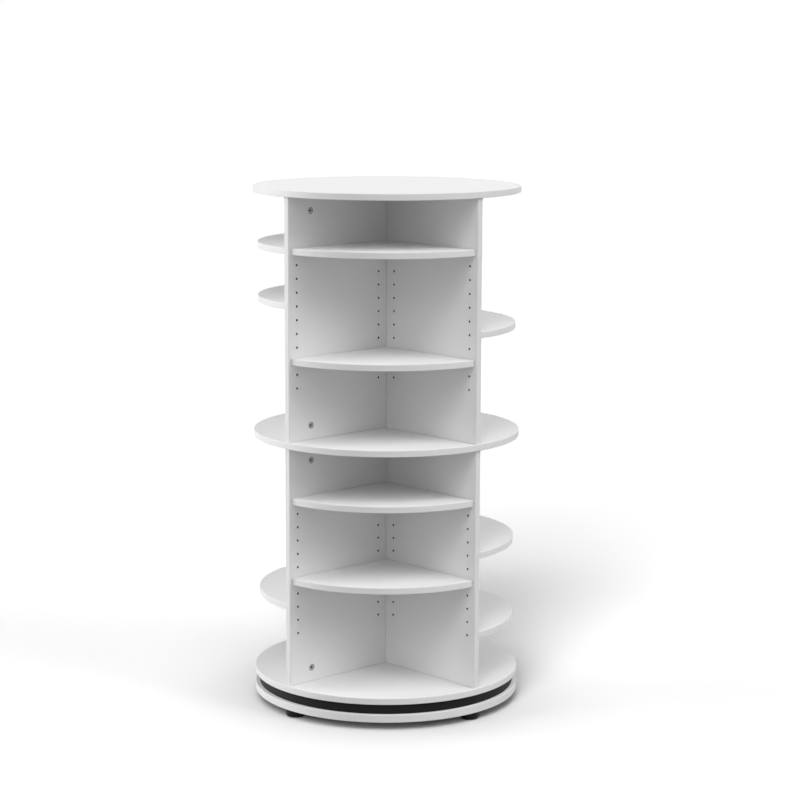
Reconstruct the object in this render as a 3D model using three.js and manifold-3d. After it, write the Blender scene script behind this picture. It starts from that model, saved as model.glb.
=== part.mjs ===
// Rotating media tower: round plates and crossed walls that turn on a ball-bearing swivel.
// Millimetres, +Z up. The origin is on the floor, on the turning axis.
// The four wall arms lie along +X, +Y, -X and -Y, and the shelves fill the quarters between them.

import * as THREE from 'three';
import { mergeVertices } from 'three/addons/utils/BufferGeometryUtils.js';
import Module from 'manifold-3d';

const wasm = await Module();
wasm.setup();

// Boards
const boardThickness = 15;
const basePlateThickness = 18;
const plateRadius = 320;
const bayHeight = 571;
const wallSetback = 5;
const jointGap = 0.2;
const fitGap = 0.3;

// Rows of shelf holes in the walls
const holeRadius = 2.5;
const holePitch = 32;
const holesPerColumn = 11;
const outerColumnInset = 25;
const innerColumnInset = 26;

// Shelves and the wire ends that carry them
const shelfSetback = 11;
const shelfSideGap = 1;
const shelfCornerRadius = 4;
const wireEndRadius = 2;
const wireEndReach = 7;
const wireEndAnchor = 3;

// Cam fittings that pull the walls to the plates
const camRadius = 7.5;
const camDepth = 11.5;
const camSink = 0.6;
const camInset = 67;
const camToEdge = 34;
const camSocketRadius = 2.2;
const camSocketDepth = 4;
const camBoltRadius = 3;
const camBoltReach = 10;
const camBoltSpare = 0.5;

// Dowels that tie the half walls to the wide wall
const dowelRadius = 4;
const dowelReach = 20;
const dowelToEdge = 80;

// Black ring round the swivel
const swivelHeight = 25;
const ringInset = 10;
const ringWidth = 12;
const ringRunningGap = 2.5;

// Ball-bearing swivel
const ballCircleRadius = 150;
const ballRadius = 5;
const ballCount = 12;
const ballPlay = 0.4;
const cageThickness = 1.6;
const cageHeight = 9;
const raceFaceGap = 2.2;
const raceWallThickness = 9;
const raceEndGap = 3;
const flangeReach = 35;
const flangeThickness = 3;

// Feet
const footHeight = 20;
const footRadius = 23;
const footEdgeRadius = 8.5;
const footInset = 27.5;
const footRecessRadius = 6.5;
const footRecessDepth = 7;

// Wood screws
const screwHeadRadius = 4.2;
const screwHeadHeight = 2.6;
const screwShankRadius = 2;
const footScrewGrip = 13;
const raceScrewGrip = 10;
const screwHoleSpare = 0.6;
const raceScrewInset = 11;
const raceScrewCount = 4;
const raceScrewAngle = 45;

// Facets
const rimSteps = 72;
const shelfArcSteps = 18;
const cornerArcSteps = 2;
const raceSteps = 48;
const footSteps = 20;
const footEdgeSteps = 3;
const camSides = 12;
const boreSides = 8;
const holeSides = 6;
const ballSides = 6;
const ballRings = 4;

// One overrun carries every cutter past the face that it opens.
const cutOverrun = 2;

// Places worked out from the sizes above
const halfBoard = boardThickness / 2;
const basePlateZ = footHeight;
const baseTopZ = basePlateZ + basePlateThickness;
const bottomPlateZ = baseTopZ + swivelHeight;
const plateStep = boardThickness + bayHeight;
const middlePlateZ = bottomPlateZ + plateStep;
const topPlateZ = middlePlateZ + plateStep;
const wallHeight = bayHeight - 2 * jointGap;
const wallReach = plateRadius - wallSetback;
const outerColumnX = wallReach - outerColumnInset;
const innerColumnX = halfBoard + innerColumnInset;
const lowestHoleToPlate = (bayHeight - (holesPerColumn - 1) * holePitch) / 2;
const topRow = holesPerColumn - 1;
const camX = wallReach - camInset;
const footX = plateRadius - footInset;
const quarterTurn = Math.PI / 2;
const quarterDegrees = 90;
const fullDegrees = 360;

// The arms number 0 to 3 anticlockwise from +X, and each module of walls stands on its own plate.
const arms = [0, 1, 2, 3];
const modules = [
  { name: 'lower', floorZ: bottomPlateZ + boardThickness },
  { name: 'upper', floorZ: middlePlateZ + boardThickness },
];

// Each quarter starts at the arm with its number. Rows count upwards from the lowest hole.
const quarters = [
  { name: 'right', arm: 0, rows: { lower: [0, 6], upper: [4] } },
  { name: 'back', arm: 1, rows: { lower: [2, 7], upper: [3, 8] } },
  { name: 'left', arm: 2, rows: { lower: [2], upper: [6, topRow] } },
  { name: 'front', arm: 3, rows: { lower: [4, topRow], upper: [2, topRow] } },
];

const finishes = {
  whiteBoard: { color: 0xf0f0ee, roughness: 0.55, metalness: 0 },
  blackBoard: { color: 0x1b1b1c, roughness: 0.6, metalness: 0 },
  blackPlastic: { color: 0x121213, roughness: 0.5, metalness: 0 },
  zincSteel: { color: 0xb4b7ba, roughness: 0.35, metalness: 1 },
  beech: { color: 0xc79f68, roughness: 0.7, metalness: 0 },
};

const part = new THREE.Group();

// Adds one piece, with a finish of its own, and returns it so that it can be placed.
function addPiece(name, solid, finish) {
  const piece = new THREE.Mesh(geometryOf(solid), new THREE.MeshStandardMaterial(finish));
  piece.name = name;
  part.add(piece);
  return piece;
}

// Turns a closed mesh into a solid that can be joined and cut.
function solidOf(geometry) {
  geometry.deleteAttribute('normal');
  geometry.deleteAttribute('uv');
  const merged = mergeVertices(geometry);
  const corners = merged.index.array;
  const faces = [];
  for (let i = 0; i < corners.length; i += 3) {
    const [a, b, c] = corners.slice(i, i + 3);
    if (a !== b && b !== c && c !== a) {
      faces.push(a, b, c);
    }
  }
  return new wasm.Manifold(new wasm.Mesh({
    numProp: 3,
    vertProperties: new Float32Array(merged.attributes.position.array),
    triVerts: new Uint32Array(faces),
  }));
}

function geometryOf(solid) {
  const mesh = solid.getMesh();
  const geometry = new THREE.BufferGeometry();
  geometry.setAttribute('position', new THREE.BufferAttribute(mesh.vertProperties, 3));
  geometry.setIndex(new THREE.BufferAttribute(mesh.triVerts, 1));
  geometry.computeVertexNormals();
  return geometry;
}

function cutAll(body, cutters) {
  return cutters.reduce((rest, cutter) => rest.subtract(cutter), body);
}

function joinAll(bodies) {
  return bodies.reduce((whole, body) => whole.add(body));
}

// Points on an arc, both ends included
function arc(centerX, centerY, radius, fromAngle, toAngle, steps) {
  const points = [];
  for (let i = 0; i <= steps; i += 1) {
    const angle = fromAngle + ((toAngle - fromAngle) * i) / steps;
    points.push(new THREE.Vector2(
      centerX + radius * Math.cos(angle),
      centerY + radius * Math.sin(angle),
    ));
  }
  return points;
}

// A polygon standing round a circle's points, without the repeated last point
function ringOfPoints(centerX, centerY, radius, sides) {
  return arc(centerX, centerY, radius, 0, 2 * Math.PI, sides).slice(0, -1);
}

// A flat board of any outline, lying from z = 0 up to its thickness
function board(outline, thickness, holeOutlines = []) {
  const shape = new THREE.Shape(outline);
  shape.holes = holeOutlines.map((points) => new THREE.Path(points));
  return solidOf(new THREE.ExtrudeGeometry(shape, { depth: thickness, bevelEnabled: false }));
}

// A solid of revolution about Z from a closed outline of [radius, height] pairs
function turned(outline, steps) {
  const points = [...outline, outline[0]].map(([radius, z]) => new THREE.Vector2(radius, z));
  const geometry = new THREE.LatheGeometry(points, steps);
  geometry.rotateX(quarterTurn);
  return solidOf(geometry);
}

// A round bar along Z between two heights
function bar(radius, fromZ, toZ, sides) {
  const geometry = new THREE.CylinderGeometry(radius, radius, toZ - fromZ, sides);
  geometry.rotateX(quarterTurn);
  geometry.translate(0, 0, (fromZ + toZ) / 2);
  return solidOf(geometry);
}

// A round bar along Y between two places, at a given X and Z
function crossBar(radius, fromY, toY, sides, x, z) {
  const geometry = new THREE.CylinderGeometry(radius, radius, toY - fromY, sides);
  geometry.translate(x, (fromY + toY) / 2, z);
  return solidOf(geometry);
}

// The same solid on every arm, or on the arms that are named
function onArms(solid, which = arms) {
  return which.map((arm) => solid.rotate([0, 0, quarterDegrees * arm]));
}

// Copies of a solid, evenly spaced round the axis, the first one turned by an angle in degrees
function aroundAxis(solid, count, firstAngle = 0) {
  return Array.from({ length: count }, (_, i) => (
    solid.rotate([0, 0, firstAngle + (fullDegrees * i) / count])
  ));
}

// Wood screw: the head's underside is at z = 0 and the shank points down.
function screw(shankLength) {
  const head = bar(screwHeadRadius, 0, screwHeadHeight, boreSides);
  const shank = bar(screwShankRadius, -shankLength, screwHeadHeight / 2, boreSides);
  return head.add(shank);
}

function screwBore(fromZ, toZ) {
  return bar(screwShankRadius + fitGap, fromZ, toZ, boreSides);
}

// Bolts of the cam fittings stand in the middle of a wall's thickness.
function camBoltBore(fromZ, toZ) {
  return bar(camBoltRadius + fitGap, fromZ, toZ, boreSides).translate([camX, 0, 0]);
}

function addBase() {
  const disc = bar(plateRadius, 0, basePlateThickness, rimSteps);
  const footBores = onArms(
    screwBore(-cutOverrun, footScrewGrip + screwHoleSpare).translate([footX, 0, 0]),
  );
  const raceBores = aroundAxis(
    screwBore(basePlateThickness - raceScrewGrip - screwHoleSpare, basePlateThickness + cutOverrun)
      .translate([ballCircleRadius + flangeReach - raceScrewInset, 0, 0]),
    raceScrewCount,
    raceScrewAngle,
  );
  const plate = addPiece('base_plate', cutAll(disc, [...footBores, ...raceBores]), finishes.whiteBoard);
  plate.position.z = basePlateZ;

  const ringOuter = plateRadius - ringInset;
  const ringInner = ringOuter - ringWidth;
  const ringHeight = swivelHeight - ringRunningGap;
  const ring = turned([
    [ringInner, jointGap],
    [ringOuter, jointGap],
    [ringOuter, ringHeight],
    [ringInner, ringHeight],
  ], rimSteps);
  addPiece('plinth_ring', ring, finishes.blackBoard).position.z = baseTopZ;
}

// A glide with a rounded lower edge, and a recess for the head of its screw
function footSolid() {
  const top = footHeight - jointGap;
  const flatRadius = footRadius - footEdgeRadius;
  const roundedEdge = arc(flatRadius, footEdgeRadius, footEdgeRadius, -quarterTurn, 0, footEdgeSteps)
    .map((point) => [point.x, point.y]);
  const body = turned([[0, 0], ...roundedEdge, [footRadius, top], [0, top]], footSteps);
  const recess = bar(footRecessRadius, -cutOverrun, footRecessDepth, camSides);
  return cutAll(body, [recess, screwBore(0, footHeight + cutOverrun)]);
}

function addFeet() {
  const foot = footSolid();
  const footScrew = screw(footHeight - footRecessDepth - jointGap + footScrewGrip);
  for (const arm of arms) {
    const place = new THREE.Vector3(footX, 0, 0).applyAxisAngle(new THREE.Vector3(0, 0, 1), arm * quarterTurn);
    addPiece(`foot_${arm + 1}`, foot, finishes.blackPlastic).position.copy(place);
    const driven = addPiece(`foot_screw_${arm + 1}`, footScrew, finishes.zincSteel);
    driven.position.copy(place);
    driven.position.z = footRecessDepth - jointGap;
    driven.rotation.x = Math.PI;
  }
}

// Half of the swivel as an outline: a wall with a V groove for the balls, and a flange along z = 0.
// side is 1 for the race outside the balls and -1 for the race inside them.
function raceOutline(side) {
  const face = ballCircleRadius + side * raceFaceGap;
  const back = ballCircleRadius + side * (raceFaceGap + raceWallThickness);
  const flangeEnd = ballCircleRadius + side * flangeReach;
  const wallTop = swivelHeight - 2 * jointGap - raceEndGap;
  const ballZ = swivelHeight / 2 - jointGap;
  const grooveReach = (ballRadius + ballPlay) * Math.SQRT2;
  const grooveHalfWidth = grooveReach - raceFaceGap;
  return [
    [face, 0],
    [flangeEnd, 0],
    [flangeEnd, flangeThickness],
    [back, flangeThickness],
    [back, wallTop],
    [face, wallTop],
    [face, ballZ + grooveHalfWidth],
    [ballCircleRadius + side * grooveReach, ballZ],
    [face, ballZ - grooveHalfWidth],
  ];
}

function addSwivel() {
  const screwX = (side) => ballCircleRadius + side * (flangeReach - raceScrewInset);
  const flangeBores = (side) => aroundAxis(
    screwBore(-cutOverrun, flangeThickness + cutOverrun).translate([screwX(side), 0, 0]),
    raceScrewCount,
    raceScrewAngle,
  );
  const outerRace = turned(raceOutline(1), raceSteps);
  const lower = addPiece('lower_race', cutAll(outerRace, flangeBores(1)), finishes.zincSteel);
  lower.position.z = baseTopZ + jointGap;

  const innerRace = turned(raceOutline(-1).reverse(), raceSteps);
  const upper = addPiece('upper_race', cutAll(innerRace, flangeBores(-1)), finishes.zincSteel);
  upper.position.z = bottomPlateZ - jointGap;
  upper.rotation.x = Math.PI;

  const cageBand = turned([
    [ballCircleRadius - cageThickness / 2, -cageHeight / 2],
    [ballCircleRadius + cageThickness / 2, -cageHeight / 2],
    [ballCircleRadius + cageThickness / 2, cageHeight / 2],
    [ballCircleRadius - cageThickness / 2, cageHeight / 2],
  ], raceSteps);
  const ball = solidOf(new THREE.SphereGeometry(ballRadius, ballSides, ballRings))
    .translate([ballCircleRadius, 0, 0]);
  const cage = joinAll([cageBand, ...aroundAxis(ball, ballCount)]);
  addPiece('ball_cage', cage, finishes.zincSteel).position.z = baseTopZ + swivelHeight / 2;

  const raceScrew = screw(flangeThickness + 2 * jointGap + raceScrewGrip);
  for (let i = 0; i < raceScrewCount; i += 1) {
    const angle = THREE.MathUtils.degToRad(raceScrewAngle + (fullDegrees * i) / raceScrewCount);
    const down = addPiece(`lower_race_screw_${i + 1}`, raceScrew, finishes.zincSteel);
    down.position.set(screwX(1) * Math.cos(angle), screwX(1) * Math.sin(angle), 0);
    down.position.z = baseTopZ + 2 * jointGap + flangeThickness;
    const up = addPiece(`upper_race_screw_${i + 1}`, raceScrew, finishes.zincSteel);
    up.position.set(screwX(-1) * Math.cos(angle), screwX(-1) * Math.sin(angle), 0);
    up.position.z = bottomPlateZ - 2 * jointGap - flangeThickness;
    up.rotation.x = Math.PI;
  }
}

function addPlates() {
  const disc = bar(plateRadius, 0, boardThickness, rimSteps);
  const boltDepth = camBoltReach + camBoltSpare;
  const boresFromTop = onArms(camBoltBore(boardThickness - boltDepth, boardThickness + cutOverrun));
  const boresFromBelow = onArms(camBoltBore(-cutOverrun, boltDepth));
  const boresThrough = onArms(camBoltBore(-cutOverrun, boardThickness + cutOverrun));
  const raceBores = aroundAxis(
    screwBore(-cutOverrun, raceScrewGrip + screwHoleSpare)
      .translate([ballCircleRadius - flangeReach + raceScrewInset, 0, 0]),
    raceScrewCount,
    raceScrewAngle,
  );
  const bottom = addPiece('bottom_plate', cutAll(disc, [...boresFromTop, ...raceBores]), finishes.whiteBoard);
  bottom.position.z = bottomPlateZ;
  addPiece('middle_plate', cutAll(disc, boresThrough), finishes.whiteBoard).position.z = middlePlateZ;
  addPiece('top_plate', cutAll(disc, boresFromBelow), finishes.whiteBoard).position.z = topPlateZ;
}

// A wall along X with its shelf holes, standing on z = 0 with the middle of its thickness on y = 0
function wallBoard(fromX, toX, columns) {
  const outline = [
    new THREE.Vector2(fromX, 0),
    new THREE.Vector2(toX, 0),
    new THREE.Vector2(toX, wallHeight),
    new THREE.Vector2(fromX, wallHeight),
  ];
  const holes = [];
  for (const x of columns) {
    for (let row = 0; row < holesPerColumn; row += 1) {
      const z = lowestHoleToPlate - jointGap + row * holePitch;
      holes.push(ringOfPoints(x, z, holeRadius, holeSides));
    }
  }
  return board(outline, boardThickness, holes).translate([0, 0, -halfBoard]).rotate([quarterDegrees, 0, 0]);
}

// What one arm's two cam fittings need cut out of its wall: round pockets and bores to the edges
function camCuts() {
  const pocketFloor = halfBoard - camSink - camDepth - fitGap;
  const pocket = (z) => crossBar(camRadius + fitGap, pocketFloor, halfBoard + cutOverrun, camSides, camX, z);
  const lowCamZ = camToEdge - jointGap;
  const highCamZ = wallHeight - lowCamZ;
  return [
    pocket(lowCamZ),
    pocket(highCamZ),
    camBoltBore(-cutOverrun, lowCamZ),
    camBoltBore(highCamZ, wallHeight + cutOverrun),
  ];
}

function dowelCuts(fromY, toY) {
  const radius = dowelRadius + fitGap;
  return [dowelToEdge, wallHeight - dowelToEdge].map((z) => crossBar(radius, fromY, toY, boreSides, 0, z));
}

function addWalls() {
  const cams = joinAll(camCuts());
  const wide = cutAll(
    wallBoard(-wallReach, wallReach, [-outerColumnX, -innerColumnX, innerColumnX, outerColumnX]),
    [...onArms(cams, [0, 2]), ...dowelCuts(-halfBoard - cutOverrun, halfBoard + cutOverrun)],
  );
  const dowelBores = dowelCuts(-halfBoard - dowelReach - fitGap, halfBoard)
    .map((bore) => bore.rotate([0, 0, quarterDegrees]));
  const half = cutAll(
    wallBoard(halfBoard + jointGap, wallReach, [innerColumnX, outerColumnX]),
    [cams, ...dowelBores],
  );
  const dowel = crossBar(dowelRadius, -halfBoard - dowelReach, halfBoard + dowelReach, boreSides, 0, 0);
  for (const { name, floorZ } of modules) {
    addPiece(`${name}_wide_wall`, wide, finishes.whiteBoard).position.z = floorZ + jointGap;
    for (const arm of [1, 3]) {
      const wall = addPiece(`${name}_half_wall_${arm + 1}`, half, finishes.whiteBoard);
      wall.position.z = floorZ + jointGap;
      wall.rotation.z = arm * quarterTurn;
    }
    [dowelToEdge, wallHeight - dowelToEdge].forEach((z, i) => {
      addPiece(`${name}_wall_dowel_${i + 1}`, dowel, finishes.beech).position.z = floorZ + jointGap + z;
    });
  }
}

// A bolt with a cam at each of its wall ends, and a screwdriver socket in the face of each cam.
// Heights are above the underside of the plate that the bolt goes into.
function camFitting(fromZ, toZ, camHeights) {
  const face = halfBoard - camSink;
  const bolt = bar(camBoltRadius, fromZ, toZ, boreSides).translate([camX, 0, 0]);
  const drums = camHeights.map((z) => crossBar(camRadius, face - camDepth, face, camSides, camX, z));
  const sockets = camHeights.map((z) => (
    crossBar(camSocketRadius, face - camSocketDepth, face + cutOverrun, holeSides, camX, z)
  ));
  return cutAll(joinAll([bolt, ...drums]), sockets);
}

function addCamFittings() {
  const above = boardThickness + camToEdge;
  const sets = [
    { name: 'bottom', z: bottomPlateZ, solid: camFitting(boardThickness - camBoltReach, above, [above]) },
    { name: 'middle', z: middlePlateZ, solid: camFitting(-camToEdge, above, [-camToEdge, above]) },
    { name: 'top', z: topPlateZ, solid: camFitting(-camToEdge, camBoltReach, [-camToEdge]) },
  ];
  for (const { name, z, solid } of sets) {
    for (const arm of arms) {
      const fitting = addPiece(`${name}_cam_fitting_${arm + 1}`, solid, finishes.zincSteel);
      fitting.position.z = z;
      fitting.rotation.z = arm * quarterTurn;
    }
  }
}

// A quarter disc with rounded front corners, lying between +X and +Y, on z = 0
function shelfSolid() {
  const side = halfBoard + shelfSideGap;
  const radius = plateRadius - shelfSetback;
  const nearCorner = side + shelfCornerRadius;
  const farCorner = Math.sqrt((radius - shelfCornerRadius) ** 2 - nearCorner ** 2);
  const cornerAngle = Math.atan2(nearCorner, farCorner);
  const outline = [
    new THREE.Vector2(side, side),
    ...arc(farCorner, nearCorner, shelfCornerRadius, -quarterTurn, cornerAngle, cornerArcSteps),
    ...arc(0, 0, radius, cornerAngle, quarterTurn - cornerAngle, shelfArcSteps).slice(1, -1),
    ...arc(nearCorner, farCorner, shelfCornerRadius, quarterTurn - cornerAngle, Math.PI, cornerArcSteps),
  ];
  const wireEnds = [innerColumnX, outerColumnX].flatMap((column) => {
    const end = crossBar(
      wireEndRadius,
      halfBoard - wireEndReach,
      side + wireEndAnchor,
      holeSides,
      column,
      halfBoard,
    );
    return [end, end.mirror([1, -1, 0])];
  });
  return joinAll([board(outline, boardThickness), ...wireEnds]);
}

function addShelves() {
  const shelf = shelfSolid();
  for (const quarter of quarters) {
    for (const { name, floorZ } of modules) {
      quarter.rows[name].forEach((row, i) => {
        const piece = addPiece(`${quarter.name}_${name}_shelf_${i + 1}`, shelf, finishes.whiteBoard);
        piece.position.z = floorZ + lowestHoleToPlate + row * holePitch - halfBoard;
        piece.rotation.z = quarter.arm * quarterTurn;
      });
    }
  }
}

addBase();
addFeet();
addSwivel();
addPlates();
addWalls();
addCamFittings();
addShelves();

export default part;
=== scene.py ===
import math

import bmesh
import bpy
from mathutils import Matrix, Vector


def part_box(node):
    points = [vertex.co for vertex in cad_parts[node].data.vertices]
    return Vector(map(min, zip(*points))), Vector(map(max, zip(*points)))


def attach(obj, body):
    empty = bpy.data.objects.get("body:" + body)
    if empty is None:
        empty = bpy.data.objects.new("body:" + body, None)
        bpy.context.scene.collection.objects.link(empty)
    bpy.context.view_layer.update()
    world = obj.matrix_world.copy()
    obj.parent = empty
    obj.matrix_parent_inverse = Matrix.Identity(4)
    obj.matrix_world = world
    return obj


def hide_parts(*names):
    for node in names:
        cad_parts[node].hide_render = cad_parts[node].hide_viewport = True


# Looks of the rotating media tower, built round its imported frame.
# Metres, +Z up, with the origin on the floor on the turning axis.

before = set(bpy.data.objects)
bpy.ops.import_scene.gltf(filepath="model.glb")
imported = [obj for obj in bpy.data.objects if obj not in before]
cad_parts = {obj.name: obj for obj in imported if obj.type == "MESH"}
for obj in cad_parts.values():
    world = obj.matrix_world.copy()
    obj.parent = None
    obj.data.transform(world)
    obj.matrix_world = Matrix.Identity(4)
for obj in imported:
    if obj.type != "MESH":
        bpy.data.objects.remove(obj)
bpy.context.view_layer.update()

# Boards
EDGE_ROUNDING = 0.0011
BUTT_ROUNDING = 0.0002
ROUNDING_STEPS = 4
RIM_ROUNDING_STEPS = 2
CORNER_RUN = 0.003
BAND_THICKNESS = 0.0013
SEAM_WIDTH = 0.0003
SEAM_DEPTH = 0.00015
RIM_STEPS = 192

# Rows of shelf holes in the walls
HOLE_RADIUS = 0.0025
HOLE_RIM = 0.00025
HOLE_STEPS = 24
HOLE_PITCH = 0.032
HOLES_PER_COLUMN = 11
OUTER_COLUMN_INSET = 0.025
INNER_COLUMN_INSET = 0.026

# Shelves
SHELF_SIDE_GAP = 0.001
SHELF_CORNER_RADIUS = 0.0015
SHELF_ARC_STEPS = 48
CORNER_STEPS = 5
GROOVE_DEPTH = 0.0048
GROOVE_HEIGHT = 0.0046
GROOVE_END = 0.004
GROOVE_END_STEPS = 4
GROOVE_SPARE = 0.003

# Steel wires that carry the shelves
WIRE_RADIUS = 0.002
WIRE_BEND = 0.0035
WIRE_REACH = 0.007
WIRE_INSET = 0.0025
WIRE_SIDES = 12
WIRE_BEND_STEPS = 6
WIRE_CHAMFER = 0.0004

# Cam fittings
CAM_RADIUS = 0.0075
CAM_LENGTH = 0.0115
CAM_SINK = 0.0006
CAM_INSET = 0.067
CAM_TO_EDGE = 0.034
CAM_STEPS = 48
CAM_CHAMFER = 0.0006
POCKET_GAP = 0.0003
POCKET_RIM = 0.0002
CAM_SOCKET_DEPTH = 0.006
CAM_SOCKET_RADIUS = 0.0022
CAM_SOCKET_ARM = 0.0032
CAM_SOCKET_HALF_WIDTH = 0.0008
CAM_SOCKET_STEPS = 4
CAM_SOCKET_RIM = 0.0002
CAM_MARK_DEPTH = 0.0003
CAM_MARK_RIM = 0.00005
CAM_MARK_TIP = 0.0062
CAM_MARK_BASE = 0.0042
CAM_MARK_HALF_WIDTH = 0.0014
BOLT_RADIUS = 0.003
BOLT_CORE_RADIUS = 0.0024
BOLT_STEPS = 24

# Dowels
DOWEL_FLUTES = 16
FLUTE_DEPTH = 0.0003
DOWEL_CHAMFER = 0.001

# Swivel
BALL_CIRCLE_RADIUS = 0.150
BALL_RADIUS = 0.005
BALL_COUNT = 12
BALL_PLAY = 0.0004
RACE_FACE_GAP = 0.0022
RACE_WALL = 0.009
RACE_FLANGE = 0.003
RACE_FILLET = 0.0006
FILLET_STEPS = 2
CAGE_THICKNESS = 0.0016
CAGE_HEIGHT = 0.009
CAGE_FILLET = 0.0003
BALL_STEPS = 24
BALL_RINGS = 14
RACE_STEPS = 144

# Feet
FOOT_EDGE_RADIUS = 0.0085
FOOT_RECESS_RADIUS = 0.0065
FOOT_RECESS_DEPTH = 0.007
FOOT_BORE_RADIUS = 0.0023
FOOT_TOP_FILLET = 0.0006
FOOT_RECESS_FILLET = 0.0008
FOOT_STEPS = 64
FOOT_EDGE_STEPS = 8

# Wood screws
SCREW_HEAD_RADIUS = 0.0042
SCREW_HEAD_HEIGHT = 0.0026
SCREW_HEAD_FILLET = 0.0011
SCREW_HEAD_EDGE = 0.0003
SCREW_ROOT_HEIGHT = 0.00065
SCREW_RECESS_DEPTH = 0.0016
SCREW_RECESS_ARM = 0.0023
SCREW_RECESS_HALF_WIDTH = 0.0005
SCREW_RECESS_RIM = 0.0001
SCREW_RADIUS = 0.002
SCREW_CORE_RADIUS = 0.0014
SCREW_TIP = 0.003
SCREW_STEPS = 24
THREAD_PITCH = 0.0012

# Meshes
TINY = 1e-7
SHARP_ANGLE = math.radians(38)
QUARTER_TURN = math.pi / 2
FULL_TURN = 2 * math.pi
ARMS = (0, 1, 2, 3)
MODULES = ("lower", "upper")
QUARTERS = ("right", "back", "left", "front")

# Places of a board's materials in its list, and of a cam's
FACE, SHADED_BAND, SHADED_CORE = 0, 1, 2
CASTING, SHADED_SOCKET = 0, 1

# Finishes: the two tones that mix, roughness, and features for each metre
NOISE_DETAIL = 3
TEXTURE_MIDDLE = (0.3, 0.7)
ROUGHNESS_SHARE = 1 / 3
FINISHES = {
    "white_laminate": dict(
        tones=((0.785, 0.785, 0.785), (0.805, 0.805, 0.805)),
        tone_scale=900,
        roughness=(0.63, 0.73),
        grain_scale=2200,
        grain_height=0.00002,
        specular=0.25,
    ),
    # painted shade: the band is toned darker than the faces, so that the boards' rims look shaded
    "white_edge_band_painted_shade": dict(
        tones=((0.672, 0.672, 0.672), (0.688, 0.688, 0.688)),
        tone_scale=300,
        roughness=(0.46, 0.58),
        grain_scale=1500,
        grain_height=0.000015,
        specular=0.5,
    ),
    "black_laminate": dict(
        tones=((0.006, 0.006, 0.0065), (0.010, 0.010, 0.0105)),
        tone_scale=700,
        roughness=(0.48, 0.60),
        grain_scale=1800,
        grain_height=0.00003,
        specular=0.12,
    ),
    "black_plastic": dict(
        tones=((0.004, 0.004, 0.0045), (0.007, 0.007, 0.0075)),
        tone_scale=500,
        roughness=(0.42, 0.56),
        grain_scale=2600,
        grain_height=0.00005,
        specular=0.15,
    ),
    "zinc_casting": dict(
        tones=((0.36, 0.36, 0.36), (0.46, 0.46, 0.46)),
        tone_scale=700,
        roughness=(0.40, 0.56),
        grain_scale=1800,
        grain_height=0.00003,
        metallic=1.0,
    ),
    # painted shade: a much darker copy of the zinc, for the deep socket of each cam drum
    "zinc_socket_painted_shade": dict(
        tones=((0.05, 0.05, 0.05), (0.09, 0.09, 0.09)),
        tone_scale=700,
        roughness=(0.60, 0.75),
        grain_scale=1800,
        grain_height=0.00003,
        metallic=1.0,
    ),
    "zinc_plated_steel": dict(
        tones=((0.58, 0.59, 0.60), (0.66, 0.67, 0.68)),
        tone_scale=300,
        roughness=(0.24, 0.36),
        grain_scale=2400,
        grain_height=0.00001,
        metallic=1.0,
    ),
    "beech": dict(
        tones=((0.50, 0.32, 0.15), (0.64, 0.43, 0.23)),
        tone_scale=260,
        roughness=(0.60, 0.75),
        grain_scale=900,
        grain_height=0.00005,
        stretch=(1, 0.12, 1),
    ),
}
CHIPS_FOR_METRE = 900
# painted shade: chip tones far darker than raw chipboard, for the shade inside holes, cam pockets and
# shelf grooves
SHADED_CHIP_TONES = ((0.035, 0.028, 0.021), (0.100, 0.080, 0.060))
CHIP_HEIGHT = 0.0002
CHIP_ROUGHNESS = 0.9

# Camera, fitted to the photograph's shelf holes and board edges
CAMERA_PLACE = (4.0050, -3.6970, 1.6223)
CAMERA_YAW = 46.948
CAMERA_PITCH = 9.299
CAMERA_ROLL = 0.185
CAMERA_LENS = 102.82
CAMERA_SENSOR = 36.0
CAMERA_SIGHT = 120

# Lamps as name, azimuth, elevation, apparent size in degrees, and strength.
# Azimuth 0 shines from -Y, and 90 from +X.
LAMPS = (
    ("front_high_light", 30, 52, 18, 0.22),
    ("front_light", 30, 40, 28, 0.60),
    ("front_low_light", 36, 21, 30, 0.36),
    ("left_high_light", -30, 30, 25, 0.28),
    ("left_low_light", -60, 12, 30, 2.75),
    ("right_high_light", 60, 60, 30, 0.60),
    ("right_low_light", 120, 38, 45, 1.82),
    ("back_light", 180, 30, 70, 0.36),
)
ROOM_LIGHT = 0.03

# Floor: its tone where it lights the object and where it is looked at, the azimuth and elevation that
# its shading leans toward, and how far and how much painted shade darkens it round the object
FLOOR_REACH = 60
FLOOR_TONE = 0.4
FLOOR_SEEN_TONE = 2.34
FLOOR_LEAN = (30, 10)
PAINTED_SHADE_REACH = 0.42
PAINTED_SHADE_DEPTH = 0.6

# Sizes read from the frame
plate_low, plate_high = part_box("top_plate")
wall_low, wall_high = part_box("lower_wide_wall")
shelf_radius = max(v.co.xy.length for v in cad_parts["right_lower_shelf_1"].data.vertices)
board_thickness = plate_high.z - plate_low.z
half_board = board_thickness / 2
wall_reach = wall_high.x
wall_height = wall_high.z - wall_low.z
outer_column = wall_reach - OUTER_COLUMN_INSET
inner_column = half_board + INNER_COLUMN_INSET
cam_place = wall_reach - CAM_INSET
bay_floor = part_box("bottom_plate")[1].z
bay_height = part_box("middle_plate")[0].z - bay_floor
wall_gap = wall_low.z - bay_floor
lowest_hole = (bay_height - (HOLES_PER_COLUMN - 1) * HOLE_PITCH) / 2 - wall_gap


# Outlines

def arc(center_x, center_y, radius, start, end, steps):
    """Points on an arc, both ends included."""
    points = []
    for i in range(steps + 1):
        angle = start + (end - start) * i / steps
        points.append(Vector((center_x + radius * math.cos(angle), center_y + radius * math.sin(angle))))
    return points


def circle(center_x, center_y, radius, steps):
    """A circle for a hole: its points run clockwise, so that the material lies on their left."""
    return arc(center_x, center_y, radius, 0, -FULL_TURN, steps)[:-1]


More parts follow.
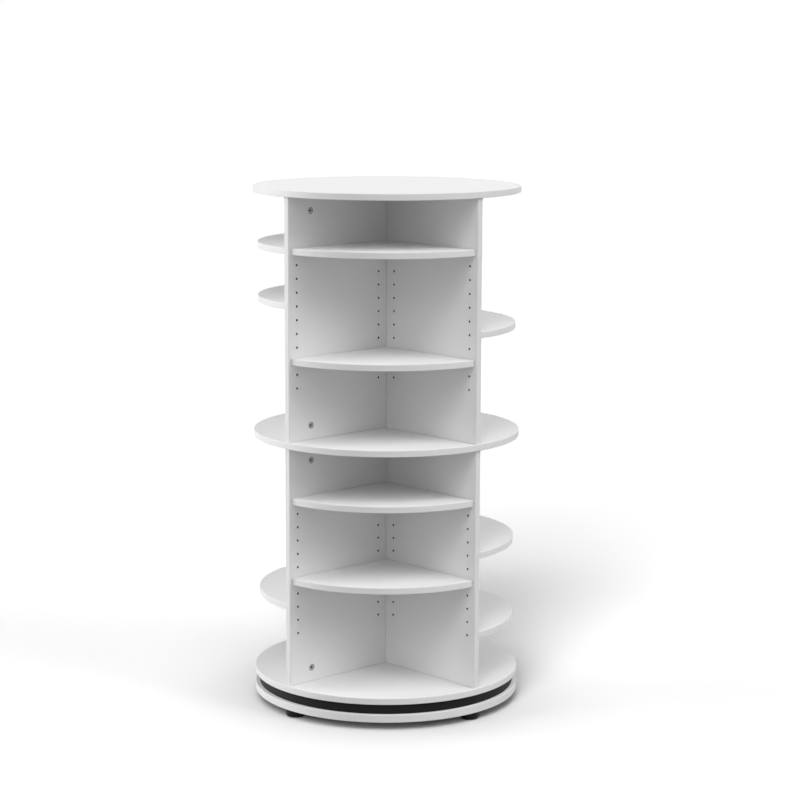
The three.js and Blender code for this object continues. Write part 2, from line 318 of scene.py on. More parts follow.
def soft_outline(corners, steps, closed):
    """An outline of (x, y, fillet) corners, with each fillet as an arc."""
    points = []
    last = len(corners) - 1
    for i, (x, y, fillet) in enumerate(corners):
        here = Vector((x, y))
        if fillet == 0 or (not closed and i in (0, last)):
            points.append(here)
            continue
        back = (Vector(corners[i - 1][:2]) - here).normalized()
        ahead = (Vector(corners[(i + 1) % len(corners)][:2]) - here).normalized()
        half = back.angle(ahead) / 2
        center = here + (back + ahead).normalized() * fillet / math.sin(half)
        first = here + back * fillet / math.tan(half) - center
        final = here + ahead * fillet / math.tan(half) - center
        turn = math.atan2(first.x * final.y - first.y * final.x, first.dot(final))
        for j in range(steps + 1):
            points.append(center + Matrix.Rotation(turn * j / steps, 2) @ first)
    return points


def offset_loop(points, insets):
    """A closed loop with each point moved to the loop's left by its own inset."""
    moved = []
    for i, here in enumerate(points):
        into = (here - points[i - 1]).normalized()
        out = (points[(i + 1) % len(points)] - here).normalized()
        normal_in = Vector((-into.y, into.x))
        normal_out = Vector((-out.y, out.x))
        moved.append(here + (normal_in + normal_out) * insets[i] / (1 + normal_in.dot(normal_out)))
    return moved


def quarter_shares(steps):
    """A rounded edge as (share of its inset, share of its height), from the face to the side."""
    angles = [QUARTER_TURN * i / steps for i in range(steps + 1)]
    return [(1 - math.sin(angle), 1 - math.cos(angle)) for angle in angles]


# Meshes

def add_face(mesh, corners, material=0):
    """A face on the corners that differ, or none if fewer than three do."""
    distinct = list(dict.fromkeys(corners))
    if len(distinct) > 2:
        mesh.faces.new(distinct).material_index = material


def skin(mesh, points, levels):
    """Joins the levels of a closed loop by faces.

    A level is (insets, height, material of the step after it).
    The material is one for the whole loop, or a list of one for each point.
    """
    rings = []
    for insets, height, _ in levels:
        ring = []
        for i, point in enumerate(offset_loop(points, insets)):
            place = Vector((point.x, point.y, height))
            below = rings[-1][i] if rings else None
            if below is not None and (below.co - place).length < TINY:
                ring.append(below)
            else:
                ring.append(mesh.verts.new(place))
        rings.append(ring)
    for (_, _, material), low, high in zip(levels, rings, rings[1:]):
        for i in range(len(points)):
            j = (i + 1) % len(points)
            finish = material[i] if isinstance(material, list) else material
            add_face(mesh, (low[i], low[j], high[j], high[i]), finish)
    return rings[0], rings[-1]


def fill(mesh, rings, material=0):
    """A flat face that has the rings as its border and its holes."""
    edges = [mesh.edges.get((a, b)) for ring in rings for a, b in zip(ring, ring[1:] + ring[:1])]
    made = bmesh.ops.triangle_fill(mesh, use_beauty=True, edges=edges)
    for piece in made["geom"]:
        if isinstance(piece, bmesh.types.BMFace):
            piece.material_index = material


def rounded_edge(roundings, height, material=0):
    """The levels of a rounded edge, up from a board's lower face, each point with its own rounding."""
    return [
        ([inset * rounding for rounding in roundings], rise * height, material)
        for inset, rise in quarter_shares(ROUNDING_STEPS)
    ]


def upside_down(levels, thickness):
    """Levels that run up from the lower face, as they run up to the upper face."""
    materials = [levels[0][2]] + [material for _, _, material in levels[:-1]]
    paired = list(zip(levels, materials))
    return [(insets, thickness - rise, material) for (insets, rise, _), material in reversed(paired)]


def board_levels(thickness, roundings, middle=()):
    """The levels of a board's edge, up from its lower face, with the seams of its edge band."""
    count = len(roundings)
    lower = [
        ([BAND_THICKNESS + SEAM_WIDTH / 2] * count, 0, FACE),
        ([BAND_THICKNESS] * count, SEAM_DEPTH, SHADED_BAND),
        ([BAND_THICKNESS - SEAM_WIDTH / 2] * count, 0, SHADED_BAND),
    ]
    lower += rounded_edge(roundings, EDGE_ROUNDING, SHADED_BAND)
    return lower + list(middle) + upside_down(lower, thickness)


def bore(mesh, points, thickness, rim, depth=None, from_top=False, material=0):
    """Cuts a hole with a softened rim, right through or to a depth.

    It returns the hole's lower and upper rings.
    """
    count = len(points)
    shares = quarter_shares(RIM_ROUNDING_STEPS)
    opening = [([inset * rim] * count, rise * rim, material) for inset, rise in shares]
    if depth is None:
        low, high = skin(mesh, points, opening + upside_down(opening, thickness))
        return [low], [high]
    levels = opening + [([0] * count, depth, material)]
    if from_top:
        levels = [(insets, thickness - rise, material) for insets, rise, material in levels]
    mouth, floor = skin(mesh, points, levels)
    fill(mesh, [floor], material)
    return ([], [mouth]) if from_top else ([mouth], [])


def drilled_board(mesh, outline, levels, thickness, bores):
    """A board with its edge levels, and with bores given as keyword sets for bore()."""
    low, high = skin(mesh, outline, levels)
    lower, upper = [low], [high]
    for one in bores:
        below, above = bore(mesh, thickness=thickness, **one)
        lower += below
        upper += above
    fill(mesh, lower)
    fill(mesh, upper)


def turned(mesh, outline, steps, closed=True, material_of=lambda radius: 0):
    """A solid of revolution round Z from (radius, z) points, closed on itself or ending on the axis."""
    rings = []
    for radius, z in outline:
        if radius < TINY:
            rings.append([mesh.verts.new((0, 0, z))] * steps)
            continue
        angles = [FULL_TURN * i / steps for i in range(steps)]
        rings.append([mesh.verts.new((radius * math.cos(a), radius * math.sin(a), z)) for a in angles])
    following = rings[1:] + rings[:1] if closed else rings[1:]
    for k, (low, high) in enumerate(zip(rings, following)):
        middle = (outline[k][0] + outline[(k + 1) % len(outline)][0]) / 2
        for i in range(steps):
            j = (i + 1) % steps
            add_face(mesh, (low[i], low[j], high[j], high[i]), material_of(middle))


def swept(mesh, path, height, radius, sides, chamfer):
    """A round bar along a flat path at one height, with chamfered ends."""
    points = [Vector((p.x, p.y, height)) for p in path]
    start = (points[1] - points[0]).normalized()
    finish = (points[-1] - points[-2]).normalized()
    places = [points[0], points[0] + start * chamfer] + points[1:-1]
    places += [points[-1] - finish * chamfer, points[-1]]
    rings = []
    for i, place in enumerate(places):
        before = places[max(i - 1, 0)]
        after = places[min(i + 1, len(places) - 1)]
        along = (after - before).normalized()
        across = Vector((-along.y, along.x, 0))
        reach = radius - chamfer if i in (0, len(places) - 1) else radius
        ring = []
        for k in range(sides):
            angle = FULL_TURN * k / sides
            offset = across * math.cos(angle) + Vector((0, 0, 1)) * math.sin(angle)
            ring.append(mesh.verts.new(place + offset * reach))
        rings.append(ring)
    for low, high in zip(rings, rings[1:]):
        for i in range(sides):
            j = (i + 1) % sides
            add_face(mesh, (low[i], low[j], high[j], high[i]))
    add_face(mesh, rings[0])
    add_face(mesh, rings[-1])


def moved(mesh, start, matrix):
    """Moves the vertices that the mesh has gained since it had so many."""
    mesh.verts.ensure_lookup_table()
    bmesh.ops.transform(mesh, matrix=matrix, verts=mesh.verts[start:])


def add_piece(mesh, name, body, materials, stands_for=(), matrix=None):
    """Makes the finished object of a mesh on its body, and hides the frame's parts that it stands for.
    """
    bmesh.ops.recalc_face_normals(mesh, faces=mesh.faces)
    if matrix is not None:
        mesh.transform(matrix)
    data = bpy.data.meshes.new(name)
    mesh.to_mesh(data)
    for material in materials:
        data.materials.append(material)
    data.shade_smooth()
    data.set_sharp_from_angle(angle=SHARP_ANGLE)
    piece = bpy.data.objects.new(name, data)
    bpy.context.scene.collection.objects.link(piece)
    weighted = piece.modifiers.new("weighted_normals", "WEIGHTED_NORMAL")
    weighted.keep_sharp = True
    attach(piece, body)
    if stands_for:
        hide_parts(*stands_for)
    return piece


def turn_about(axis, angle):
    """A turn about one of the main axes, as a 4 x 4 matrix."""
    return Matrix.Rotation(angle, 4, axis)


def turn_to(arm):
    """The turn from +X to one of the four arms."""
    return turn_about("Z", arm * QUARTER_TURN)


def middle_of(node):
    """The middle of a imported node's box."""
    low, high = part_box(node)
    return (low + high) / 2


# Materials

def add_node(tree, kind, inputs=None, **settings):
    """A shader node with values for its inputs and its settings."""
    made = tree.nodes.new(kind)
    for key, value in settings.items():
        setattr(made, key, value)
    for key, value in (inputs or {}).items():
        made.inputs[key].default_value = value
    return made


def noise(tree, scale, stretch=None):
    """Noise in the object's own coordinates, in features for each metre, as its output."""
    place = add_node(tree, "ShaderNodeTexCoord").outputs["Object"]
    if stretch:
        mapping = add_node(tree, "ShaderNodeMapping", {"Scale": stretch})
        tree.links.new(place, mapping.inputs["Vector"])
        place = mapping.outputs["Vector"]
    made = add_node(tree, "ShaderNodeTexNoise", {"Scale": scale, "Detail": NOISE_DETAIL})
    tree.links.new(place, made.inputs["Vector"])
    return made.outputs["Fac"]


def flecks(tree, scale):
    """Cells in the object's own coordinates, as a value for each cell."""
    place = add_node(tree, "ShaderNodeTexCoord").outputs["Object"]
    made = add_node(tree, "ShaderNodeTexVoronoi", {"Scale": scale})
    tree.links.new(place, made.inputs["Vector"])
    return made.outputs["Color"]


def spread(tree, value, low, high):
    """A texture's middle range spread over the numbers from low to high."""
    dark, light = TEXTURE_MIDDLE
    ranges = {"From Min": dark, "From Max": light, "To Min": low, "To Max": high}
    made = add_node(tree, "ShaderNodeMapRange", ranges)
    tree.links.new(value, made.inputs["Value"])
    return made.outputs["Result"]


def blend_of(tree, value, first, second):
    """Two colours mixed by a texture's middle range."""
    made = add_node(tree, "ShaderNodeMix", data_type="RGBA")
    made.inputs["A"].default_value = (*first, 1)
    made.inputs["B"].default_value = (*second, 1)
    tree.links.new(spread(tree, value, 0, 1), made.inputs["Factor"])
    return made.outputs["Result"]


def new_material(name):
    """A new material, as its node tree, its shader and itself."""
    made = bpy.data.materials.new(name)
    made.use_nodes = True
    return made.node_tree, made.node_tree.nodes["Principled BSDF"], made


def bump(tree, shader, value, height):
    """Fine relief on the shader, from a texture's output."""
    made = add_node(tree, "ShaderNodeBump", {"Distance": height, "Strength": 1})
    tree.links.new(value, made.inputs["Height"])
    tree.links.new(made.outputs["Normal"], shader.inputs["Normal"])


def surface(name):
    """A finish whose tone, roughness and relief all vary finely."""
    finish = FINISHES[name]
    stretch = finish.get("stretch")
    tree, shader, made = new_material(name)
    color = blend_of(tree, noise(tree, finish["tone_scale"], stretch=stretch), *finish["tones"])
    tree.links.new(color, shader.inputs["Base Color"])
    patches = noise(tree, finish["grain_scale"] * ROUGHNESS_SHARE, stretch=stretch)
    tree.links.new(spread(tree, patches, *finish["roughness"]), shader.inputs["Roughness"])
    bump(tree, shader, noise(tree, finish["grain_scale"], stretch=stretch), finish["grain_height"])
    shader.inputs["Metallic"].default_value = finish.get("metallic", 0)
    if "specular" in finish:
        shader.inputs["Specular IOR Level"].default_value = finish["specular"]
    return made


def shaded_chipboard():
    """Pressed wood chips, as they show in the wall of a drilled hole, in tones darkened as painted shade
    for the inside of holes, pockets and grooves.
    """
    tree, shader, made = new_material("chipboard_core_painted_shade")
    chips = flecks(tree, CHIPS_FOR_METRE)
    tree.links.new(blend_of(tree, chips, *SHADED_CHIP_TONES), shader.inputs["Base Color"])
    bump(tree, shader, chips, CHIP_HEIGHT)
    shader.inputs["Roughness"].default_value = CHIP_ROUGHNESS
    return made


laminate = surface("white_laminate")
# the band's darker tone is painted shade on the boards' rims
shaded_edge_band = surface("white_edge_band_painted_shade")
# the core's dark tones are painted shade for the insides of holes, pockets and grooves
core = shaded_chipboard()
black_ring = surface("black_laminate")
black_plastic = surface("black_plastic")
casting = surface("zinc_casting")
# the cam socket's darker zinc is painted shade for the socket's depth
socket_shade = surface("zinc_socket_painted_shade")
steel = surface("zinc_plated_steel")
beech = surface("beech")
BOARD = (laminate, shaded_edge_band, core)
CAM = (casting, socket_shade)


# Base

def round_plate(node, body):
    """A round board with a rounded and banded rim."""
    low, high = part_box(node)
    thickness = high.z - low.z
    mesh = bmesh.new()
    levels = board_levels(thickness, [EDGE_ROUNDING])
    rim = [(high.x - insets[0], height) for insets, height, _ in levels]
    band_start = high.x - BAND_THICKNESS
    turned(
        mesh,
        [(0, 0), *rim, (0, thickness)],
        RIM_STEPS,
        False,
        lambda radius: SHADED_BAND if radius > band_start else FACE,
    )
    matrix = Matrix.Translation((0, 0, low.z))
    add_piece(mesh, node + "_finished", body, BOARD, [node], matrix)


def ring():
    """The black ring that hides the swivel."""
    low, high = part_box("plinth_ring")
    inner = min(v.co.xy.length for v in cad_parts["plinth_ring"].data.vertices)
    corners = [
        (inner, low.z, EDGE_ROUNDING),
        (high.x, low.z, EDGE_ROUNDING),
        (high.x, high.z, EDGE_ROUNDING),
        (inner, high.z, EDGE_ROUNDING),
    ]
    mesh = bmesh.new()
    turned(mesh, soft_outline(corners, ROUNDING_STEPS, True), RIM_STEPS)
    add_piece(mesh, "plinth_ring_finished", "base", [black_ring], ["plinth_ring"])


def cross(arm, half_width):
    """A cross recess, with its points running clockwise."""
    corners = [Vector((-half_width, arm)), Vector((half_width, arm)), Vector((half_width, half_width))]
    return [Matrix.Rotation(-i * QUARTER_TURN, 2) @ corner for i in ARMS for corner in corners]


def star(radius, arm, half_width, steps):
    """A round recess with four arms, with its points running clockwise."""
    side = math.asin(half_width / radius)
    quarter = [Vector((-half_width, arm)), Vector((half_width, arm))]
    quarter += arc(0, 0, radius, QUARTER_TURN - side, side, steps)
    return [Matrix.Rotation(-i * QUARTER_TURN, 2) @ corner for i in ARMS for corner in quarter]


def threads(radius, core, start, end):
    """The outline of a thread as rings down from one height to another, as (radius, z) points."""
    count = int((start - end) / THREAD_PITCH)
    points = []
    for i in range(count):
        top = start - i * THREAD_PITCH
        points += [(radius, top), (core, top - THREAD_PITCH / 2)]
    return points


def screw(node, body, points_up):
    """A wood screw with a cross recess in its head, a threaded shank and a point."""
    low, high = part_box(node)
    length = high.z - low.z - SCREW_HEAD_HEIGHT
    outline = list(reversed(circle(0, 0, SCREW_HEAD_RADIUS, SCREW_STEPS)))
    levels = rounded_edge([SCREW_HEAD_EDGE] * SCREW_STEPS, SCREW_HEAD_EDGE)
    crown = rounded_edge([SCREW_HEAD_FILLET] * SCREW_STEPS, SCREW_HEAD_FILLET)
    levels += upside_down(crown, SCREW_HEAD_HEIGHT)
    recess = dict(
        points=cross(SCREW_RECESS_ARM, SCREW_RECESS_HALF_WIDTH),
        rim=SCREW_RECESS_RIM,
        depth=SCREW_RECESS_DEPTH,
        from_top=True,
    )
    mesh = bmesh.new()
    drilled_board(mesh, outline, levels, SCREW_HEAD_HEIGHT, [recess])
    shank = [(0, SCREW_ROOT_HEIGHT), (SCREW_RADIUS, SCREW_ROOT_HEIGHT)]
    shank += threads(SCREW_RADIUS, SCREW_CORE_RADIUS, 0, SCREW_TIP - length)
    shank += [(SCREW_CORE_RADIUS, SCREW_TIP - length), (0, -length)]
    turned(mesh, shank, SCREW_STEPS, False)
    place = middle_of(node)
    place.z = low.z + SCREW_HEAD_HEIGHT if points_up else high.z - SCREW_HEAD_HEIGHT
    matrix = Matrix.Translation(place) @ turn_about("X", math.pi if points_up else 0)
    add_piece(mesh, node + "_finished", body, [steel], [node], matrix)


def foot(node):
    """A moulded glide with a rounded lower edge and a recess for its screw."""
    low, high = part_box(node)
    radius = (high.x - low.x) / 2
    height = high.z
    corners = [
        (FOOT_BORE_RADIUS, FOOT_RECESS_DEPTH, 0),
        (FOOT_RECESS_RADIUS, FOOT_RECESS_DEPTH, 0),
        (FOOT_RECESS_RADIUS, 0, FOOT_RECESS_FILLET),
        (radius, 0, FOOT_EDGE_RADIUS),
        (radius, height, FOOT_TOP_FILLET),
        (FOOT_BORE_RADIUS, height, 0),
    ]
    mesh = bmesh.new()
    turned(mesh, soft_outline(corners, FOOT_EDGE_STEPS, True), FOOT_STEPS)
    place = middle_of(node)
    place.z = 0
    matrix = Matrix.Translation(place)
    add_piece(mesh, node + "_finished", "base", [black_plastic], [node], matrix)


# Swivel

def race(node, body, side):
    """A bearing ring with a V groove and a flange: side is 1 outside the balls and -1 inside them."""
    low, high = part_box(node)
    face = BALL_CIRCLE_RADIUS + side * RACE_FACE_GAP
    back = face + side * RACE_WALL
    flange_end = high.x if side > 0 else min(v.co.xy.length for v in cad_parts[node].data.vertices)
    height = high.z - low.z
    swivel_middle = middle_of("ball_cage").z
    groove = (BALL_RADIUS + BALL_PLAY) * math.sqrt(2)
    groove_half = groove - RACE_FACE_GAP
    ball_z = swivel_middle - low.z if side > 0 else high.z - swivel_middle
    corners = [
        (face, 0, RACE_FILLET),
        (flange_end, 0, RACE_FILLET),
        (flange_end, RACE_FLANGE, RACE_FILLET),
        (back, RACE_FLANGE, RACE_FILLET),
        (back, height, RACE_FILLET),
        (face, height, RACE_FILLET),
        (face, ball_z + groove_half, 0),
        (BALL_CIRCLE_RADIUS + side * groove, ball_z, RACE_FILLET),
        (face, ball_z - groove_half, 0),
    ]
    mesh = bmesh.new()
    turned(mesh, soft_outline(corners, FILLET_STEPS, True), RACE_STEPS)
    if side > 0:
        matrix = Matrix.Translation((0, 0, low.z))
    else:
        matrix = Matrix.Translation((0, 0, high.z)) @ turn_about("X", math.pi)
    add_piece(mesh, node + "_finished", body, [steel], [node], matrix)


def ball_cage():
    """The thin ring that keeps the balls apart, and its balls."""
    low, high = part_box("ball_cage")
    middle = (low.z + high.z) / 2
    inner = BALL_CIRCLE_RADIUS - CAGE_THICKNESS / 2
    outer = BALL_CIRCLE_RADIUS + CAGE_THICKNESS / 2
    corners = [
        (inner, middle - CAGE_HEIGHT / 2, CAGE_FILLET),
        (outer, middle - CAGE_HEIGHT / 2, CAGE_FILLET),
        (outer, middle + CAGE_HEIGHT / 2, CAGE_FILLET),
        (inner, middle + CAGE_HEIGHT / 2, CAGE_FILLET),
    ]
    mesh = bmesh.new()
    turned(mesh, soft_outline(corners, FILLET_STEPS, True), RACE_STEPS)
    for i in range(BALL_COUNT):
        turn = turn_about("Z", FULL_TURN * i / BALL_COUNT)
        place = turn @ Matrix.Translation((BALL_CIRCLE_RADIUS, 0, middle))
        sizes = dict(u_segments=BALL_STEPS, v_segments=BALL_RINGS, radius=BALL_RADIUS)
        bmesh.ops.create_uvsphere(mesh, matrix=place, **sizes)
    add_piece(mesh, "ball_cage_finished", "ball_cage", [steel], ["ball_cage"])


# Walls

def wall(node, arm, start, banded_start, both_sides):
    """A wall along +X, turned to its arm, with its rows of shelf holes and its cam pockets."""
    left = start
    right = wall_reach
    outline = [
        Vector((left, 0)),
        Vector((left + CORNER_RUN, 0)),
        Vector((right - CORNER_RUN, 0)),
        Vector((right, 0)),
        Vector((right, wall_height)),
        Vector((right - CORNER_RUN, wall_height)),
        Vector((left + CORNER_RUN, wall_height)),
        Vector((left, wall_height)),
    ]
    at_start = EDGE_ROUNDING if banded_start else BUTT_ROUNDING
    roundings = [at_start, BUTT_ROUNDING, BUTT_ROUNDING, EDGE_ROUNDING]
    roundings += reversed(roundings)
    levels = board_levels(board_thickness, roundings)
    columns = [inner_column, outer_column]
    if both_sides:
        columns += [-column for column in columns]
    bores = []
    for column in columns:
        for row in range(HOLES_PER_COLUMN):
            points = circle(column, lowest_hole + row * HOLE_PITCH, HOLE_RADIUS, HOLE_STEPS)
            bores.append(dict(points=points, rim=HOLE_RIM, material=SHADED_CORE))
    low_cam = CAM_TO_EDGE - wall_gap
    pocket_depth = CAM_SINK + CAM_LENGTH + POCKET_GAP
    for x in (cam_place, -cam_place) if both_sides else (cam_place,):
        for z in (low_cam, wall_height - low_cam):
            pocket = dict(
                points=circle(x, z, CAM_RADIUS + POCKET_GAP, CAM_STEPS),
                rim=POCKET_RIM,
                depth=pocket_depth,
                from_top=x < 0,
                material=SHADED_CORE,
            )
            bores.append(pocket)
    mesh = bmesh.new()
    drilled_board(mesh, outline, levels, board_thickness, bores)
    upright = Matrix.Translation((0, half_board, 0)) @ turn_about("X", QUARTER_TURN)
    matrix = Matrix.Translation((0, 0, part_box(node)[0].z)) @ turn_to(arm) @ upright
    add_piece(mesh, node + "_finished", "tower", BOARD, [node], matrix)


def dowel(node):
    """A fluted dowel with chamfered ends, along Y."""
    low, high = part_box(node)
    radius = (high.x - low.x) / 2
    length = high.y - low.y
    points = []
    for i in range(2 * DOWEL_FLUTES):
        angle = FULL_TURN * i / (2 * DOWEL_FLUTES)
        reach = radius - (FLUTE_DEPTH if i % 2 else 0)
        points.append(Vector((reach * math.cos(angle), reach * math.sin(angle))))
    count = len(points)
    levels = [
        ([DOWEL_CHAMFER] * count, 0, 0),
        ([0] * count, DOWEL_CHAMFER, 0),
        ([0] * count, length - DOWEL_CHAMFER, 0),
        ([DOWEL_CHAMFER] * count, length, 0),
    ]
    mesh = bmesh.new()
    drilled_board(mesh, points, levels, length, [])
    matrix = Matrix.Translation(middle_of(node)) @ turn_about("X", QUARTER_TURN)
    matrix = matrix @ Matrix.Translation((0, 0, -length / 2))
    add_piece(mesh, node + "_finished", "tower", [beech], [node], matrix)


# Cam fittings

def add_cam(mesh, z, toward):
    """One drum lying across the wall, its mark pointing toward the plate above (1) or below (-1)."""
    start = len(mesh.verts)
    outline = list(reversed(circle(0, 0, CAM_RADIUS, CAM_STEPS)))
    edge = rounded_edge([CAM_CHAMFER] * CAM_STEPS, CAM_CHAMFER)
    levels = edge + upside_down(edge, CAM_LENGTH)
    mark = [
        Vector((-CAM_MARK_HALF_WIDTH, CAM_MARK_BASE * toward)),
        Vector((0, CAM_MARK_TIP * toward)),
        Vector((CAM_MARK_HALF_WIDTH, CAM_MARK_BASE * toward)),
    ]
    if toward < 0:
        mark.reverse()
    recess = star(CAM_SOCKET_RADIUS, CAM_SOCKET_ARM, CAM_SOCKET_HALF_WIDTH, CAM_SOCKET_STEPS)
    bores = [
        # the socket is cut in the darker zinc, painted shade for its depth
        dict(points=recess, rim=CAM_SOCKET_RIM, depth=CAM_SOCKET_DEPTH, material=SHADED_SOCKET),
        dict(points=mark, rim=CAM_MARK_RIM, depth=CAM_MARK_DEPTH, material=CASTING),
    ]
    drilled_board(mesh, outline, levels, CAM_LENGTH, bores)
    place = Matrix.Translation((cam_place, half_board - CAM_SINK, z))
    moved(mesh, start, place @ turn_about("X", QUARTER_TURN))


def cam_fitting(node, arm, plate_node, cams_above, cams_below):
    """A bolt through a plate, with a cam drum at each end that lies in a wall."""
    plate_bottom, plate_top = (corner.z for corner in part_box(plate_node))
    low, high = (corner.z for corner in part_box(node))
    bolt_low = plate_bottom - CAM_TO_EDGE if cams_below else low
    bolt_high = plate_top + CAM_TO_EDGE if cams_above else high
    mesh = bmesh.new()
    thread_top = min(plate_top, bolt_high)
    thread_bottom = max(plate_bottom, bolt_low)
    outline = [(0, bolt_high), (BOLT_CORE_RADIUS, bolt_high)]
    outline += threads(BOLT_RADIUS, BOLT_CORE_RADIUS, thread_top, thread_bottom)
    outline += [(BOLT_CORE_RADIUS, bolt_low), (0, bolt_low)]
    turned(mesh, outline, BOLT_STEPS, False)
    moved(mesh, 0, Matrix.Translation((cam_place, 0, 0)))
    if cams_above:
        add_cam(mesh, plate_top + CAM_TO_EDGE, -1)
    if cams_below:
        add_cam(mesh, plate_bottom - CAM_TO_EDGE, 1)
    add_piece(mesh, node + "_finished", "tower", CAM, [node], turn_to(arm))


# Shelves

def shelf_outline(side, radius):
    """A quarter disc's points from its inner corner, and how deep the wire groove is cut at each."""
    near = side + SHELF_CORNER_RADIUS
    far = math.sqrt((radius - SHELF_CORNER_RADIUS) ** 2 - near ** 2)
    corner_angle = math.atan2(near, far)
    groove_stop = outer_column + GROOVE_SPARE
    run_out = []
    for i in range(GROOVE_END_STEPS + 1):
        share = i / GROOVE_END_STEPS
        run_out.append((groove_stop + GROOVE_END * share, GROOVE_DEPTH * math.sqrt(1 - share ** 2)))
    front = arc(far, near, SHELF_CORNER_RADIUS, -QUARTER_TURN, corner_angle, CORNER_STEPS)
    front += arc(0, 0, radius, corner_angle, QUARTER_TURN - corner_angle, SHELF_ARC_STEPS)[1:-1]
    front += arc(near, far, SHELF_CORNER_RADIUS, QUARTER_TURN - corner_angle, math.pi, CORNER_STEPS)
    points = [Vector((side, side))] + [Vector((x, side)) for x, _ in run_out] + front
    points += [Vector((side, x)) for x, _ in reversed(run_out)]
    depths = [GROOVE_DEPTH] + [depth for _, depth in run_out] + [0] * len(front)
    depths += [depth for _, depth in reversed(run_out)]
    return points, depths


def shelf_wire(side):
    """The flat path of the wire along a shelf's +X side, from one wall hole to the other."""
    run = side + WIRE_INSET
    bend = run - WIRE_BEND
    into_wall = half_board - WIRE_REACH
    path = [Vector((inner_column, into_wall))]
    path += arc(inner_column + WIRE_BEND, bend, WIRE_BEND, math.pi, QUARTER_TURN, WIRE_BEND_STEPS)
    path += arc(outer_column - WIRE_BEND, bend, WIRE_BEND, QUARTER_TURN, 0, WIRE_BEND_STEPS)
    path.append(Vector((outer_column, into_wall)))
    return path


def shelf(node, arm):
    """A quarter shelf with a rounded and banded edge, and the two wires in its side grooves."""
    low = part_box(node)[0].z
    side = half_board + SHELF_SIDE_GAP
    points, depths = shelf_outline(side, shelf_radius)
    flush = [0] * len(points)
    following = depths[1:] + depths[:1]
    inside = [SHADED_CORE if max(pair) > 0 else SHADED_BAND for pair in zip(depths, following)]
    groove = [
        (flush, half_board - GROOVE_HEIGHT / 2, inside),
        (depths, half_board - GROOVE_HEIGHT / 2, inside),
        (depths, half_board + GROOVE_HEIGHT / 2, inside),
        (flush, half_board + GROOVE_HEIGHT / 2, SHADED_BAND),
    ]
    levels = board_levels(board_thickness, [EDGE_ROUNDING] * len(points), groove)
    matrix = Matrix.Translation((0, 0, low)) @ turn_to(arm)
    mesh = bmesh.new()
    drilled_board(mesh, points, levels, board_thickness, [])
    add_piece(mesh, node + "_finished", "tower", BOARD, [node], matrix)
    right = shelf_wire(side)
    wires = {"right_wire": right, "left_wire": [Vector((p.y, p.x)) for p in right]}
    for name, path in wires.items():
        mesh = bmesh.new()
        swept(mesh, path, half_board, WIRE_RADIUS, WIRE_SIDES, WIRE_CHAMFER)
        add_piece(mesh, f"{node}_{name}", "tower", [steel], (), matrix)


round_plate("base_plate", "base")
for name in ("bottom_plate", "middle_plate", "top_plate"):
    round_plate(name, "tower")
ring()
race("lower_race", "base", 1)
race("upper_race", "tower", -1)
ball_cage()
for arm in ARMS:
    foot(f"foot_{arm + 1}")
    screw(f"foot_screw_{arm + 1}", "base", True)
    screw(f"lower_race_screw_{arm + 1}", "base", False)
    screw(f"upper_race_screw_{arm + 1}", "tower", True)
    cam_fitting(f"bottom_cam_fitting_{arm + 1}", arm, "bottom_plate", True, False)
    cam_fitting(f"middle_cam_fitting_{arm + 1}", arm, "middle_plate", True, True)
    cam_fitting(f"top_cam_fitting_{arm + 1}", arm, "top_plate", False, True)
for module in MODULES:
    wall(f"{module}_wide_wall", 0, -wall_reach, True, True)
    wall(f"{module}_half_wall_2", 1, half_board + wall_gap, False, False)
    wall(f"{module}_half_wall_4", 3, half_board + wall_gap, False, False)
    dowel(f"{module}_wall_dowel_1")
    dowel(f"{module}_wall_dowel_2")
for name in sorted(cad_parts):
    quarter = name.split("_")[0]
    if "_shelf_" in name:
        shelf(name, QUARTERS.index(quarter))


# Stage, camera and light

def grey(level):
    """A grey as a colour with its alpha."""
    return (level, level, level, 1)


def seen_rays(tree):
    """1 for the rays that the camera, gloss or glass sends out, and 0 for the rest."""
    path = add_node(tree, "ShaderNodeLightPath")
    first = add_node(tree, "ShaderNodeMath", operation="MAXIMUM")
    tree.links.new(path.outputs["Is Camera Ray"], first.inputs[0])
    tree.links.new(path.outputs["Is Glossy Ray"], first.inputs[1])
    second = add_node(tree, "ShaderNodeMath", operation="MAXIMUM")
    tree.links.new(first.outputs[0], second.inputs[0])
    tree.links.new(path.outputs["Is Transmission Ray"], second.inputs[1])
    return second.outputs[0]


def direction(azimuth, elevation):
    """The unit vector toward an azimuth and elevation."""
    turn, rise = math.radians(azimuth), math.radians(elevation)
    return Vector((math.sin(turn) * math.cos(rise), -math.cos(turn) * math.cos(rise), math.sin(rise)))


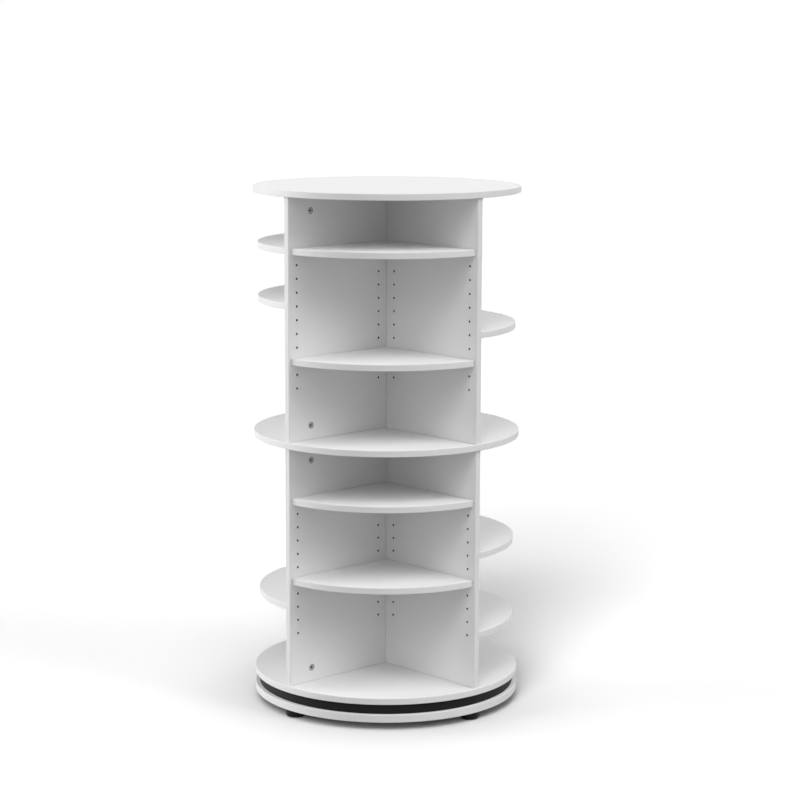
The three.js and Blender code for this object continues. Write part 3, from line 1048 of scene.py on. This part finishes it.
def floor():
    """A white floor that keeps the object's shadow, brighter where it is looked at than where it lights.

    It is shaded as if it leaned toward the front lamps, so that their shadow shows most.
    Its tone makes up for the light that it loses by that lean.
    Close to the object its seen tone is darkened a little by an occlusion test, a painted shade like
    that under wide soft boxes.
    """
    made = bpy.data.materials.new("floor")
    made.use_nodes = True
    tree = made.node_tree
    tree.nodes.clear()
    lighting = add_node(tree, "ShaderNodeBsdfDiffuse", {"Color": grey(FLOOR_TONE)})
    openness = add_node(tree, "ShaderNodeAmbientOcclusion", {"Distance": PAINTED_SHADE_REACH})
    tones = {"To Min": FLOOR_SEEN_TONE * (1 - PAINTED_SHADE_DEPTH), "To Max": FLOOR_SEEN_TONE}
    painted_shade = add_node(tree, "ShaderNodeMapRange", tones)
    tree.links.new(openness.outputs["AO"], painted_shade.inputs["Value"])
    seen = add_node(tree, "ShaderNodeBsdfDiffuse")
    tree.links.new(painted_shade.outputs["Result"], seen.inputs["Color"])
    lean = add_node(tree, "ShaderNodeCombineXYZ", dict(zip("XYZ", direction(*FLOOR_LEAN))))
    tree.links.new(lean.outputs["Vector"], seen.inputs["Normal"])
    mix = add_node(tree, "ShaderNodeMixShader")
    tree.links.new(seen_rays(tree), mix.inputs["Fac"])
    tree.links.new(lighting.outputs[0], mix.inputs[1])
    tree.links.new(seen.outputs[0], mix.inputs[2])
    output = add_node(tree, "ShaderNodeOutputMaterial")
    tree.links.new(mix.outputs[0], output.inputs["Surface"])
    mesh = bpy.data.meshes.new("floor")
    corners = [(-FLOOR_REACH, -FLOOR_REACH, 0), (FLOOR_REACH, -FLOOR_REACH, 0)]
    corners += [(FLOOR_REACH, FLOOR_REACH, 0), (-FLOOR_REACH, FLOOR_REACH, 0)]
    mesh.from_pydata(corners, [], [(0, 1, 2, 3)])
    mesh.materials.append(made)
    ground = bpy.data.objects.new("floor", mesh)
    bpy.context.scene.collection.objects.link(ground)


def room():
    """Even light from all round, which looks white where it is looked at."""
    world = bpy.data.worlds.new("room")
    bpy.context.scene.world = world
    world.use_nodes = True
    tree = world.node_tree
    tree.nodes.clear()
    light = add_node(tree, "ShaderNodeBackground", {"Color": grey(1), "Strength": ROOM_LIGHT})
    backdrop = add_node(tree, "ShaderNodeBackground", {"Color": grey(1), "Strength": 1})
    mix = add_node(tree, "ShaderNodeMixShader")
    tree.links.new(seen_rays(tree), mix.inputs["Fac"])
    tree.links.new(light.outputs[0], mix.inputs[1])
    tree.links.new(backdrop.outputs[0], mix.inputs[2])
    output = add_node(tree, "ShaderNodeOutputWorld")
    tree.links.new(mix.outputs[0], output.inputs["Surface"])


def lamp(name, azimuth, elevation, size, strength):
    """A far soft light, so that its light is even over the floor."""
    data = bpy.data.lights.new(name, "SUN")
    data.angle = math.radians(size)
    data.energy = strength
    made = bpy.data.objects.new(name, data)
    toward = direction(azimuth, elevation)
    made.rotation_euler = toward.to_track_quat("Z", "Y").to_euler()
    made.location = toward
    bpy.context.scene.collection.objects.link(made)


def camera():
    """The photograph's viewpoint."""
    data = bpy.data.cameras.new("camera")
    data.sensor_width = CAMERA_SENSOR
    data.lens = CAMERA_LENS
    data.clip_end = CAMERA_SIGHT
    made = bpy.data.objects.new("camera", data)
    aim = turn_about("Z", math.radians(CAMERA_YAW))
    aim = aim @ turn_about("X", QUARTER_TURN - math.radians(CAMERA_PITCH))
    aim = aim @ turn_about("Z", math.radians(CAMERA_ROLL))
    made.matrix_world = Matrix.Translation(CAMERA_PLACE) @ aim
    bpy.context.scene.collection.objects.link(made)
    bpy.context.scene.camera = made


floor()
room()
for settings in LAMPS:
    lamp(*settings)
camera()
bpy.context.scene.view_settings.view_transform = "Standard"
